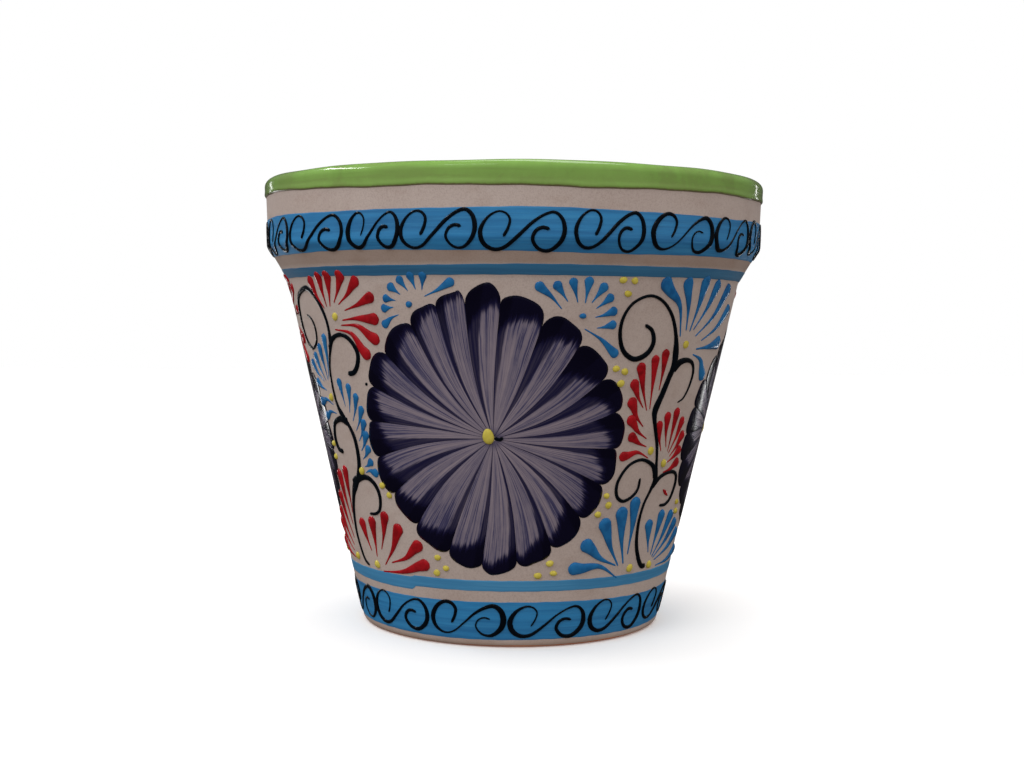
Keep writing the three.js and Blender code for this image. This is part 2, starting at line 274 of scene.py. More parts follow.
class Relief:
    # gathers raised strokes and dots for one piece
    def __init__(self):
        self.verts, self.faces, self.seed = [], [], []
        self.total = 0

    def add(self, grid, faces, seed):
        self.verts.append(grid.reshape(-1, 3))
        self.faces += [tuple(i + self.total for i in face) for face in faces]
        self.seed += [seed] * len(self.verts[-1])
        self.total += len(self.verts[-1])

    def stroke(self, path, widthOf, heightOf, spacing=0.8, sides=8, bury=0.35, lift=0.0):
        # path is (degrees, z) points; width and height are functions of the share along it
        path = np.asarray(path, float)
        home = math.radians(path[:, 0].mean())
        flat = np.stack([(np.radians(path[:, 0]) - home) * surface.radius(path[:, 1]), path[:, 1]], 1)
        share, line, length = splineThrough(flat, spacing)
        tangent = np.gradient(line, axis=0)
        tangent /= np.linalg.norm(tangent, axis=1)[:, None]
        across = np.stack([-tangent[:, 1], tangent[:, 0]], 1)
        width = np.array([widthOf(t, length) for t in share])
        height = np.array([heightOf(t, length) for t in share])
        arc = np.pi * np.arange(sides + 1) / sides
        side = np.concatenate([np.cos(arc), [-0.8, 0.8]])
        rise = np.concatenate([np.sin(arc) ** 0.85, [0, 0]])
        sunk = np.concatenate([np.zeros(sides + 1), [bury, bury]])
        x = line[:, 0][:, None] + across[:, 0][:, None] * width[:, None] / 2 * side
        z = line[:, 1][:, None] + across[:, 1][:, None] * width[:, None] / 2 * side
        up = lift + height[:, None] * rise - sunk
        grid = onSurface(home + x / surface.radius(z), surface.along(z), up)
        rows, ring = grid.shape[:2]
        faces = ringFaces(rows, ring, False, True)
        faces.append(tuple(range(ring)))
        faces.append(tuple((rows - 1) * ring + k for k in reversed(range(ring))))
        self.add(grid, faces, random.random())

    def dot(self, angle, z, wide, tall, height, sides=18, rings=6, lift=0.0):
        # a bead, a little out of round
        ring = np.arange(sides) * 2 * math.pi / sides
        skew = 1 + 0.05 * np.sin(2 * ring + random.random() * 6)
        skew += 0.03 * np.sin(3 * ring + random.random() * 6)
        rows = []
        for i in range(rings):
            swing = math.pi / 2 * i / rings
            rows.append((math.cos(swing), height * math.sin(swing)))
        rows = [(0.85, -0.3)] + rows
        x = np.array([[r * wide / 2 * math.cos(a) * k for a, k in zip(ring, skew)] for r, _ in rows])
        y = np.array([[r * tall / 2 * math.sin(a) * k for a, k in zip(ring, skew)] for r, _ in rows])
        up = np.array([[h + lift] * sides for _, h in rows])
        level = z + y
        grid = onSurface(math.radians(angle) + x / surface.radius(level), surface.along(level), up)
        tip = onSurface(np.array([math.radians(angle)]), surface.along([z]), np.array([height + lift]))
        faces = ringFaces(len(rows), sides, False)
        last = (len(rows) - 1) * sides
        top = len(rows) * sides
        for k in range(sides):
            faces.append((last + k, last + (k + 1) % sides, top))
        faces.append(tuple(reversed(range(sides))))
        self.add(np.concatenate([grid.reshape(-1, 3), tip]), faces, random.random())

    def piece(self, name):
        return makeMesh(name, np.concatenate(self.verts), self.faces, {"seed": self.seed})


def roundEnds(t, length, width, start=1.0, end=1.0):
    # narrows a stroke to a rounded tip over half its width; an end given as 0 stays as it is
    reach = max(width / 2 / length, 1e-4)

    def tip(share, size):
        return math.sqrt(max(0.02, 1 - max(0, 1 - share / (reach * size)) ** 2)) if size else 1

    return tip(t, start) * tip(1 - t, end)


class Wire:
    # one socket that can be used in plain arithmetic
    def __init__(self, board, socket):
        self.board, self.socket = board, socket

    def __add__(self, other):
        return self.board.maths("ADD", self, other)

    def __radd__(self, other):
        return self.board.maths("ADD", other, self)

    def __sub__(self, other):
        return self.board.maths("SUBTRACT", self, other)

    def __rsub__(self, other):
        return self.board.maths("SUBTRACT", other, self)

    def __mul__(self, other):
        return self.board.maths("MULTIPLY", self, other)

    def __rmul__(self, other):
        return self.board.maths("MULTIPLY", other, self)

    def __pow__(self, other):
        return self.board.maths("POWER", self, other)


class Board:
    # the node tree of one material, or of the world
    def __init__(self, name, tree=None):
        if tree is None:
            self.material = bpy.data.materials.new(name)
            self.material.use_nodes = True
            tree = self.material.node_tree
        self.tree = tree
        self.tree.nodes.clear()

    def add(self, kind, settings=None, sockets=None, out=0):
        node = self.tree.nodes.new(kind)
        for key, value in (settings or {}).items():
            setattr(node, key, value)
        for key, value in (sockets or {}).items():
            self.feed(node.inputs[key], value)
        return Wire(self, node.outputs[out])

    def feed(self, socket, value):
        if isinstance(value, Wire):
            self.tree.links.new(value.socket, socket)
        else:
            socket.default_value = value

    def maths(self, operation, *values):
        return self.add("ShaderNodeMath", {"operation": operation}, dict(enumerate(values)))

    def clamp(self, value):
        return self.add("ShaderNodeClamp", None, {"Value": value})

    def smooth(self, value, low, high):
        return self.add("ShaderNodeMapRange", {"interpolation_type": "SMOOTHSTEP"},
                        {"Value": value, "From Min": low, "From Max": high})

    def mix(self, factor, first, second):
        # 6, 7 and the outlet 2 are the Mix node's colours
        return self.add("ShaderNodeMix", {"data_type": "RGBA"}, {0: factor, 6: first, 7: second}, 2)

    def tint(self, colour, over, value, low, high, share=1.0):
        # lays one colour over another where a value goes from low to high
        return self.mix(self.smooth(value, low, high) * share, colour, over)

    def place(self):
        return self.add("ShaderNodeTexCoord", out=3)

    def stretched(self, x, y, z):
        sockets = {0: self.place(), 1: (x, y, z)}
        return self.add("ShaderNodeVectorMath", {"operation": "MULTIPLY"}, sockets)

    def level(self):
        return self.add("ShaderNodeSeparateXYZ", None, {0: self.place()}, 2)

    def vector(self, x, y, z):
        return self.add("ShaderNodeCombineXYZ", None, {"X": x, "Y": y, "Z": z})

    def noise(self, where, scale, detail=3.0, rough=0.5, warp=0.0):
        sockets = {"Vector": where, "Scale": scale, "Detail": detail, "Roughness": rough, "Distortion": warp}
        return self.add("ShaderNodeTexNoise", None, sockets)

    def attribute(self, name):
        return self.add("ShaderNodeAttribute", {"attribute_name": name}, out=2)

    def bump(self, height, distance, strength):
        return self.add("ShaderNodeBump", None, {"Height": height, "Distance": distance, "Strength": strength})

    def finish(self, colour, roughness, normal=None, **fixed):
        shader = self.tree.nodes.new("ShaderNodeBsdfPrincipled")
        self.feed(shader.inputs["Base Color"], colour)
        self.feed(shader.inputs["Roughness"], roughness)
        if normal is not None:
            self.feed(shader.inputs["Normal"], normal)
        for key, value in fixed.items():
            shader.inputs[key.replace("_", " ")].default_value = value
        output = self.tree.nodes.new("ShaderNodeOutputMaterial")
        self.tree.links.new(shader.outputs[0], output.inputs[0])
        return self.material


def paint(*chip):                # a paint chip's 0-255 values as a shader colour
    shares = (value / 255 for value in chip)
    return (*(v / 12.92 if v <= 0.04045 else ((v + 0.055) / 1.055) ** 2.4 for v in shares), 1.0)


slipLook = {
    "ground": paint(176, 160, 153),
    "pale": paint(184, 169, 162),
    "warm": paint(168, 149, 140),
    "speck": paint(118, 98, 88),
    # a browner tone: painted shade under the collar, and the darker foot edge
    "thin": paint(148, 122, 106),
    "grain": 1600.0,             # grains per metre
    "roughness": 0.62,
    "shoulderShade": (0.1772, 0.1795, 0.1835, 0.1865),   # metres: painted shade under the collar, laid on as a browner band of slip
    "footDarkening": (0.001, 0.0045),                    # metres: and darker and browner towards the foot's edge
}


def slipMaterial():
    look = slipLook
    b = Board("cream_slip")
    where, level = b.place(), b.level()
    patches = b.noise(where, 22.0, 4.0, 0.55)
    clouds = b.noise(b.stretched(1, 1, 2.2), 60.0, 3.0, 0.5)
    grain = b.noise(where, look["grain"], 2.0, 0.6)
    coarse = b.noise(where, look["grain"] * 0.4, 2.0, 0.5)
    colour = b.tint(look["ground"], look["pale"], patches, 0.35, 0.68)
    colour = b.tint(colour, look["warm"], clouds, 0.5, 0.75, 0.5)
    colour = b.tint(colour, look["speck"], grain, 0.56, 0.36, 0.22)
    colour = b.tint(colour, look["pale"], coarse, 0.5, 0.62, 0.3)
    # painted shade under the collar: the slip is tinted browner there
    low, lowFull, highFull, high = look["shoulderShade"]
    shoulderShade = b.smooth(level, low, lowFull) * b.smooth(level, high, highFull)
    colour = b.mix(shoulderShade * (0.35 + 0.3 * clouds), colour, look["thin"])
    # darker and browner towards the foot's edge
    darkestAt, plainAbove = look["footDarkening"]
    colour = b.tint(colour, look["thin"], level + 0.004 * (patches - 0.5), plainAbove, darkestAt, 0.6)
    height = grain * 0.6 + coarse * 0.8
    rough = look["roughness"] + 0.2 * (grain - 0.5)
    return b.finish(colour, rough, b.bump(height, 0.00012, 0.55), Specular_IOR_Level=0.35)


clayLook = {
    "body": paint(176, 112, 86),
    "light": paint(206, 140, 104),
    "dark": paint(142, 78, 52),
    "salt": paint(214, 178, 156),
    "roughness": 0.9,
}


def clayMaterial():
    look = clayLook
    b = Board("bare_terracotta")
    where = b.place()
    patches = b.noise(where, 14.0, 5.0, 0.6)
    rings = b.noise(b.stretched(3, 3, 160), 1.0, 4.0, 0.6)
    grain = b.noise(where, 1300.0, 2.0, 0.6)
    grit = b.noise(where, 420.0, 2.0, 0.5)
    bloom = b.noise(where, 30.0, 6.0, 0.65, 0.6)
    colour = b.tint(look["body"], look["light"], patches, 0.35, 0.7)
    colour = b.tint(colour, look["dark"], rings, 0.5, 0.72, 0.35)
    colour = b.tint(colour, look["dark"], grit, 0.36, 0.28, 0.6)
    colour = b.tint(colour, look["salt"], bloom, 0.58, 0.8, 0.3)
    height = grain * 0.5 + grit + rings * 1.5
    rough = look["roughness"] + 0.1 * (grain - 0.5)
    return b.finish(colour, rough, b.bump(height, 0.00025, 0.6), Specular_IOR_Level=0.25)


glazeLook = {
    "thick": paint(130, 172, 84),
    "lime": paint(120, 158, 76),
    "olive": paint(118, 138, 76),
    "edge": paint(108, 102, 68),
    "roughness": 0.13,
    "thinBelow": (0.2205, 0.2135),   # metres: the glaze thins towards its lower edge
}


def glazeMaterial():
    look = glazeLook
    b = Board("lime_glaze")
    where, level, thin = b.place(), b.level(), b.attribute("thin")
    runs = b.noise(b.stretched(1, 1, 0.6), 38.0, 4.0, 0.55, 0.4)
    mottle = b.noise(where, 420.0, 3.0, 0.6)
    streak = b.noise(b.stretched(30, 30, 420), 1.0, 3.0, 0.5)
    colour = b.tint(look["thick"], look["lime"], runs, 0.36, 0.6)
    colour = b.tint(colour, look["olive"], runs + 0.3 * (mottle - 0.5), 0.5, 0.6, 0.4)
    colour = b.tint(colour, look["olive"], streak, 0.52, 0.68, 0.35)
    full, bare = look["thinBelow"]
    sheet = b.smooth(level + 0.012 * (runs - 0.5), full, bare)
    colour = b.mix(sheet * (0.35 + 0.5 * (mottle - 0.3)), colour, look["olive"])
    colour = b.tint(colour, look["edge"], thin + 0.5 * (mottle - 0.5), 0.42, 0.8)
    height = runs * 1.2 + mottle * 0.08
    rough = look["roughness"] + 0.5 * b.smooth(thin, 0.5, 0.9) + 0.06 * (mottle - 0.5)
    return b.finish(colour, rough, b.bump(height, 0.0008, 0.35), Coat_Weight=0.4, Coat_Roughness=0.05)


def brushedMaterial(name, roughness, body, deep, light):
    # paint laid on with a broad brush while the pot turns
    b = Board(name)
    where = b.place()
    broad = b.noise(b.stretched(9, 9, 330), 1.0, 4.0, 0.6)
    fine = b.noise(b.stretched(28, 28, 1500), 1.0, 3.0, 0.6)
    patches = b.noise(where, 30.0, 3.0, 0.5)
    grain = b.noise(where, 1400.0, 2.0, 0.6)
    colour = b.tint(deep, body, broad, 0.36, 0.66)
    colour = b.tint(colour, light, fine, 0.5, 0.72, 0.45)
    colour = b.tint(colour, body, patches, 0.45, 0.7, 0.3)
    colour = b.tint(colour, deep, grain, 0.4, 0.28, 0.25)
    height = broad * 0.6 + fine * 0.5 + grain * 0.35
    rough = roughness + 0.25 * (fine - 0.5) + 0.15 * (grain - 0.5)
    return b.finish(colour, rough, b.bump(height, 0.00014, 0.5), Specular_IOR_Level=0.45)


petalLook = {
    "pale": paint(137, 125, 134),
    "violet": paint(86, 82, 106),
    "shade": paint(50, 48, 82),
    "navy": paint(24, 22, 54),
    "black": paint(6, 4, 16),
    "edgeGrowth": (0.62, 0.9),   # width of a stroke's dark side near the middle, and its growth to the tip
    "roughness": 0.22,
}


def petalMaterial():
    look = petalLook
    b = Board("petal_strokes")
    across, along, number = b.attribute("across"), b.attribute("along"), b.attribute("petal")
    depth, loaded = b.attribute("depth"), b.attribute("loaded")
    shift = number * 7.31
    wander = b.noise(b.vector(along * 2.2, shift, 3.7), 1.0, 2.0) - 0.5
    lane = across + wander * 0.22
    hairs = b.noise(b.vector(lane * 8.0, along * 1.3, shift), 1.0, 5.0, 0.68)
    bands = b.noise(b.vector(lane * 2.4, along * 1.1, shift + 40), 1.0, 2.0, 0.5)
    lines = b.noise(b.vector(lane * 19.0, along * 1.6, shift + 60), 1.0, 2.0, 0.5)
    fray = b.noise(b.vector(lane * 6.5, along * 3.0, shift + 90), 1.0, 4.0, 0.65)
    dry = b.noise(b.vector(lane * 3.0, along * 14.0, shift + 20), 1.0, 4.0, 0.6)
    # paint left by the bristles, 0 where the ground shows through
    load = b.smooth(hairs, 0.43, 0.62) * 0.6 + b.smooth(bands, 0.42, 0.62) * 0.35
    load = load + b.smooth(lines, 0.5, 0.68) * 0.42 * b.smooth(along, 0.04, 0.3)
    load = load + b.smooth(along, 0.35, 1.0) * 0.32 + (dry - 0.5) * 0.5
    # the loaded side of the brush, wider towards the tip
    narrow, growth = look["edgeGrowth"]
    sideLine = 1 - loaded * (narrow + growth * along ** 1.4) + (0.15 + 0.3 * along) * (fray - 0.5)
    side = b.smooth(across - sideLine, -0.04, 0.09)
    # the dark tip, deeper on the loaded side
    tipLine = 1 - depth * (1.0 + 0.5 * across) - 0.14 * (fray - 0.5) - 0.1 * (hairs - 0.5)
    tip = b.smooth(along - tipLine, -0.03, 0.022)
    rim = b.smooth(0 - across, 0.86, 0.99) * b.smooth(along, 0.78, 0.97) * 0.7
    colour = b.mix(b.clamp(load), look["pale"], look["violet"])
    colour = b.tint(colour, look["shade"], load, 0.62, 1.25, 0.8)
    colour = b.mix(b.clamp(side * (0.6 + 0.65 * hairs)), colour, look["navy"])
    colour = b.mix(b.clamp(tip + rim), colour, look["navy"])
    colour = b.tint(colour, look["black"], along - tipLine, 0.0, 0.06, 0.75)
    colour = b.tint(colour, look["black"], side * along, 0.65, 1.0, 0.6)
    colour = b.tint(colour, look["shade"], along, 0.1, 0.03, 0.6)
    grain = b.noise(b.place(), 1400.0, 2.0, 0.6)
    height = hairs * 0.8 + lines * 0.4 + grain * 0.3
    rough = look["roughness"] + 0.2 * (grain - 0.5) - 0.1 * tip
    return b.finish(colour, rough, b.bump(height, 0.00012, 0.3), Specular_IOR_Level=0.3)


def enamelMaterial(name, body, deep, light, roughness=0.14, shine=0.5, coat=0.3):
    # glossy enamel squeezed on in raised drops and lines
    b = Board(name)
    where = b.place()
    seed = b.attribute("seed")
    flow = b.noise(where, 260.0, 3.0, 0.5)
    pits = b.noise(where, 1700.0, 2.0, 0.6)
    colour = b.tint(body, deep, flow, 0.38, 0.68)
    colour = b.mix(seed * 0.35, colour, light)
    height = flow * 0.7 + b.smooth(pits, 0.3, 0.42) * 0.12
    rough = roughness + 0.1 * (flow - 0.5)
    return b.finish(colour, rough, b.bump(height, 0.0003, 0.35), Specular_IOR_Level=shine,
                    Coat_Weight=coat, Coat_Roughness=0.06)


# roughness, then the body, deep and light paints
brushedPaints = {
    "band_blue": ("collar_blue", 0.5, paint(40, 128, 184), paint(28, 106, 160), paint(62, 146, 194)),
    "stripe_blue": ("neck_blue", 0.62, paint(46, 110, 152), paint(36, 96, 136), paint(62, 126, 166)),
    "sky_blue": ("sky_blue_paint", 0.5, paint(66, 138, 184), paint(52, 122, 168), paint(88, 156, 196)),
}
# body, deep and light paints; the black also has its own roughness, shine and coat
enamels = {
    "black_enamel": (paint(2, 9, 18), paint(1, 5, 10), paint(5, 14, 24), 0.13, 0.42, 0.1),
    "red_enamel": (paint(158, 16, 26), paint(126, 8, 17), paint(176, 26, 34)),
    "blue_enamel": (paint(30, 102, 158), paint(19, 82, 136), paint(46, 120, 174)),
    "yellow_enamel": (paint(200, 184, 76), paint(180, 164, 58), paint(212, 198, 96)),
}


def makeMaterials():
    made = {"slip": slipMaterial(), "clay": clayMaterial(), "rim_green": glazeMaterial()}
    for slot, values in brushedPaints.items():
        made[slot] = brushedMaterial(*values)
    made["flower_violet"] = petalMaterial()
    for slot, values in enamels.items():
        made[slot] = enamelMaterial(slot, *values)
    return made


def dress(piece, slot, *nodes):
    piece.data.materials.append(materials[slot])
    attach(piece, "root")
    if nodes:
        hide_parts(*nodes)


clayShape = {
    "under": 0.5,                # how far the clay lies below the slip
    "bareBelow": 1.6,            # the foot's edge has no slip
    "drainRound": 1.5,
    "drainMiddle": 6.0,
    "floorRound": 8.0,
    "floorRings": (45.0, 30.0, 18.0),
    "footRings": (20.0, 40.0, 60.0),
    "ridge": 0.12,               # faint turning ridges inside
    "ridgePitch": 7.5,
    "outerStep": 0.8,
    "innerStep": 1.5,
    "innerGap": 0.6,             # keeps the inner wall clear of the slip that laps over the lip
}


def makeClay():
    p, c = potShape, clayShape
    outer = []
    for s in np.arange(surface.s[0], surface.s[-1], c["outerStep"]):
        r = np.interp(s, surface.s, surface.r)
        z = np.interp(s, surface.s, surface.z)
        cover = c["under"] if z > c["bareBelow"] else 0.0
        r -= cover * np.interp(s, surface.s, surface.nr)
        z -= cover * np.interp(s, surface.s, surface.nz)
        outer.append((r, max(z, 0.0)))
    floor, drain = p["floorHeight"], p["drainRadius"]
    inner = []
    for z in np.arange(outer[-1][1] - 1.0, floor + c["floorRound"] + 1, -c["innerStep"]):
        ridge = c["ridge"] * math.sin(2 * math.pi * z / c["ridgePitch"])
        inner.append((insideRadius(z) + c["innerGap"] + ridge, z))
    inner += arcCorner(inner[-1], (insideRadius(floor), floor), (drain, floor), c["floorRound"])
    inner += [(r, floor) for r in c["floorRings"]]
    inner += arcCorner(inner[-1], (drain, floor), (drain, 0), c["drainRound"], 5)
    middle = (drain, c["drainMiddle"])
    under = arcCorner(middle, (drain, 0), (c["footRings"][0], 0), c["drainRound"], 5)
    under += [(r, 0.0) for r in c["footRings"]]
    dress(turnedPiece("clay_pot", under + outer + inner + [middle]), "clay", "clay_body")


slipShape = {
    "footEdge": 0.75,            # height of its lower edge
    "footWaves": ((0.35, 3, 0.4), (0.2, 8, 1.9), (0.12, 21, 0.3)),
    "insideStop": 1.0,           # how far its inside edge stays from the outline's end
    "insideWaves": ((0.8, 4, 1.1), (0.5, 11, 0.2)),
    "edgeSink": 0.25,
}


def makeSlip():
    c = slipShape

    def startOf(angle):
        return surface.along(c["footEdge"]) + waves(angle, *c["footWaves"])

    def endOf(angle):
        return surface.s[-1] - c["insideStop"] + waves(angle, *c["insideWaves"])

    def liftOf(s, start, end, angle):
        return np.where(fromEnds(s, start, end) < 1e-6, -c["edgeSink"], 0.0)

    dress(coatPiece("slip_ground", startOf, endOf, liftOf, 260, 0.7, 288), "slip", "slip_coat")


glazeShape = {
    "outsideEdge": 211.7,        # how far down the glaze comes outside
    "outsideWaves": ((0.9, 2, -1.57), (0.8, 1, 3.14), (0.3, 7, 2.6), (0.16, 16, 0.2), (0.08, 39, 1.0)),
    "insideDepth": 10.5,
    "insideWaves": ((0.7, 2, 0.3), (0.9, 5, 1.2), (0.5, 13, 0.4)),
    "thickness": 0.55,
    "edgeRound": 0.9,
    "bead": 0.25,                # extra thickness where it pools near its edge
    "beadAt": 1.4,
    "beadWidth": 1.1,
    "sag": 0.12,
    "sagWaves": ((1.0, 9, 0.5), (0.6, 17, 1.4)),
    "thinEdge": 1.6,
    "sink": 0.02,
}


def makeGlaze():
    g = glazeShape

    def startOf(angle):
        return surface.along(g["outsideEdge"] + waves(angle, *g["outsideWaves"]))

    def endOf(angle):
        return surface.alongInside(potShape["top"] - g["insideDepth"] + waves(angle, *g["insideWaves"]))

    def liftOf(s, start, end, angle):
        edge = fromEnds(s, start, end)
        body = g["thickness"] * np.sqrt(np.clip(edge / g["edgeRound"], 0, 1))
        pool = g["bead"] * np.exp(-((edge - g["beadAt"]) / g["beadWidth"]) ** 2)
        sag = g["sag"] * waves(angle, *g["sagWaves"]) * np.clip(edge / 3, 0, 1)
        return body + pool + sag - g["sink"]

    def thinOf(s, start, end):
        return np.clip(1 - fromEnds(s, start, end) / g["thinEdge"], 0, 1)

    piece = coatPiece("rim_glaze_coat", startOf, endOf, liftOf, 110, 0.15, 480, thinOf)
    dress(piece, "rim_green", "rim_glaze")


bandPaint = {"thickness": 0.14, "edgeRound": 0.5, "sink": 0.01, "joinLength": 1.5,
             "brushWaves": ((0.05, 37, 0.5), (0.04, 61, 1.5))}
# bottom and top are trims on the CAD band's own levels, join is degrees and the steps down at both edges
bandRows = {
    "collar_band": {
        "bottom": 0.26, "top": 0.11, "slot": "band_blue", "rows": 44,
        "bottomWaves": ((0.8, 1, 2.62), (0.4, 4, -2.6), (0.12, 9, 1.3)),
        "topWaves": ((0.45, 2, 2.6), (0.35, 5, 1.0), (0.12, 11, 0.5)),
    },
    "neck_stripe": {
        "bottom": 0.41, "top": 0.15, "slot": "stripe_blue", "rows": 16,
        "bottomWaves": ((0.15, 2, 0.4), (0.1, 7, 2.0)),
        "topWaves": ((0.25, 1, 0.3), (0.15, 3, 0.9), (0.12, 8, 1.0)),
    },
    "foot_stripe": {
        "bottom": 0.18, "top": 0.07, "slot": "sky_blue", "rows": 14, "join": (-33, -2.0, -1.0),
        "bottomWaves": ((0.15, 3, 0.2), (0.12, 5, 1.4)),
        "topWaves": ((0.15, 2, 1.2), (0.1, 6, 0.7)),
    },
    "foot_band": {
        "bottom": 0.18, "top": 0.07, "slot": "band_blue", "rows": 32,
        "bottomWaves": ((0.3, 1, 1.2), (0.15, 5, 0.3)),
        "topWaves": ((0.45, 2, 2.0), (0.2, 5, 0.6)),
    },
}


def makeBand(name, band):
    c = bandPaint
    joinAngle, dropBottom, dropTop = band.get("join", (0, 0, 0))
    low, high = levels(name)

    def edge(level, terms, drop):
        # the brush closes its ring with a small step at the join
        def at(angle):
            past = (joinAngle - np.degrees(angle)) % 360
            step = drop * (1 - past / 360) * np.clip(past / c["joinLength"], 0, 1)
            return surface.along(level + step + waves(angle, *terms, *c["brushWaves"]))
        return at

    def liftOf(s, start, end, angle):
        return c["thickness"] * np.sqrt(np.clip(fromEnds(s, start, end) / c["edgeRound"], 0, 1)) - c["sink"]

    bottom = edge(low + band["bottom"], band["bottomWaves"], dropBottom)
    top = edge(high + band["top"], band["topWaves"], dropTop)
    dress(coatPiece(name + "_paint", bottom, top, liftOf, band["rows"]), band["slot"], name)


# each petal is one loaded brush stroke: the direction and reach of its tip, the direction and reach of the
# notch on its anticlockwise side, the depth of its dark tip, and the dark paint on its anticlockwise side.
# Directions are degrees anticlockwise from the right, lengths are millimetres.
petals = [
    (2, 63.8, 10.5, 59, 10, 0.6), (17, 64.4, 26.5, 57, 11, 0.55), (33, 63, 45.5, 56.5, 13, 0.5),
    (54.5, 63.6, 65, 54.3, 10, 0.5), (75.5, 64.3, 85, 60, 10.5, 0.35), (90.5, 68.7, 100, 59.7, 12, 0.6),
    (103, 66.8, 112.3, 62.7, 3.5, 0.35), (118.5, 66, 126, 60.8, 5.5, 0.4), (134, 66.6, 144, 61.7, 8, 0.55),
    (151.5, 68, 160, 62, 9, 0.5), (167, 66, 175.3, 61, 8.5, 0.45), (180, 64, 191.5, 58.7, 9.5, 0.5),
    (199, 62.2, 210, 56.6, 8, 0.5), (218, 59.5, 229, 55.6, 9, 0.4), (238.5, 61, 249, 57.4, 9, 0.35),
    (257.5, 63.2, 265, 60, 11, 0.4), (270, 65, 280.5, 59, 7, 0.3), (287, 62.8, 297.5, 57, 9, 0.4),
    (304.5, 61.2, 317, 54.8, 11, 0.4), (325.5, 59.6, 336, 55.3, 9.5, 0.3), (345, 61, 354, 58.3, 9, 0.4),
]
flowerShape = {
    "lift": 0.16,
    "overlap": 0.14,             # each stroke's loaded side lies over its neighbour
    "acrossSteps": 19,
    "alongSteps": 40,
    "meet": (1.0, -0.8),         # where the strokes meet, to the right of and below the middle
    "bow": 0.06,                 # how far a stroke curves sideways
    "blunt": (2.6, 0.8),         # how blunt a tip is, and how much that varies
    "wave": 0.35,                # unevenness of a tip's edge
    "edge": (0.08, 0.015),       # rounded edges, as shares of the width and the length
    "bury": 0.12,
    "eyePlace": (-0.7, 0.2),     # the yellow bead, from the flower's middle
    "eyeSize": (5.2, 7.4, 1.5),
    "speck": ((0.9, -0.4), (2.2, -1.2), (3.2, -0.2)),
}
flowers = {                      # shift is degrees and millimetres from the CAD flower's centre
    "front_flower": {"scale": 1.0, "turn": 0, "shift": (0.6, 0.3), "darkTips": 1.0},
    "right_flower": {"scale": 0.8, "turn": 4, "shift": (1.5, -0.4), "darkTips": 1.6},
    "back_flower": {"scale": 1.0, "turn": 0, "shift": (0.6, 0.3), "darkTips": 1.0},
    "left_flower": {"scale": 0.77, "turn": 12, "shift": (1.5, -0.7), "darkTips": 1.0},
}


def petalSheet(i, scale, turn):
    # one stroke as a grid: x and z from the flower's middle, and the lift off the pot
    f = flowerShape
    middle, reach, high, notch = petals[i][:4]
    low, lowNotch = petals[i - 1][2:4]
    if low > middle:
        low -= 360
    u = np.sin(np.linspace(-math.pi / 2, math.pi / 2, f["acrossSteps"]))
    v = np.linspace(0.0, 1.0, f["alongSteps"]) ** 0.85
    direction = np.radians(middle + turn + u * np.where(u < 0, middle - low, high - middle))
    rim = np.where(u < 0, lowNotch, notch)
    blunt = f["blunt"][0] + f["blunt"][1] * math.sin(2.4 * i - 1.0)
    tip = rim + (reach - rim) * np.sqrt(np.clip(1 - np.abs(u) ** blunt, 0, 1))
    tip = (tip + f["wave"] * np.sin(4 * u + i * 1.7) * (1 - u * u)) * scale
    share = np.maximum(v, 0.02)[:, None]
    meetX, meetZ = f["meet"][0] * scale, f["meet"][1] * scale
    swing = f["bow"] * np.sin(2 * direction + 3.6)[None, :] * np.sin(math.pi * share)
    x = meetX + share * (tip * np.cos(direction) - meetX)[None, :] - swing * (tip * np.sin(direction))
    z = meetZ + share * (tip * np.sin(direction) - meetZ)[None, :] + swing * (tip * np.cos(direction))
    sideEdge = np.clip((1 - np.abs(u)) / f["edge"][0], 0, 1)
    edge = sideEdge[None, :] * np.clip((1 - v) / f["edge"][1], 0, 1)[:, None]
    lift = f["lift"] * (0.55 + 0.45 * np.sqrt(edge))
    lift = lift + f["overlap"] * (u[None, :] + 1) / 2 * v[:, None]
    return u, v, x, z, lift


def sheetFaces(rows, columns, first):
    # two equal grids, one under the other, closed round their rim
    faces = []
    size = rows * columns
    for r in range(rows - 1):
        for c in range(columns - 1):
            a = first + r * columns + c
            faces.append((a, a + columns, a + columns + 1, a + 1))
            faces.append((a + size, a + size + 1, a + size + columns + 1, a + size + columns))
    loop = list(range(columns))
    loop += [r * columns + columns - 1 for r in range(1, rows)]
    loop += [(rows - 1) * columns + c for c in range(columns - 2, -1, -1)]
    loop += [r * columns for r in range(rows - 2, 0, -1)]
    for a, b in zip(loop, loop[1:] + loop[:1]):
        faces.append((first + a, first + b, first + b + size, first + a + size))
    return faces


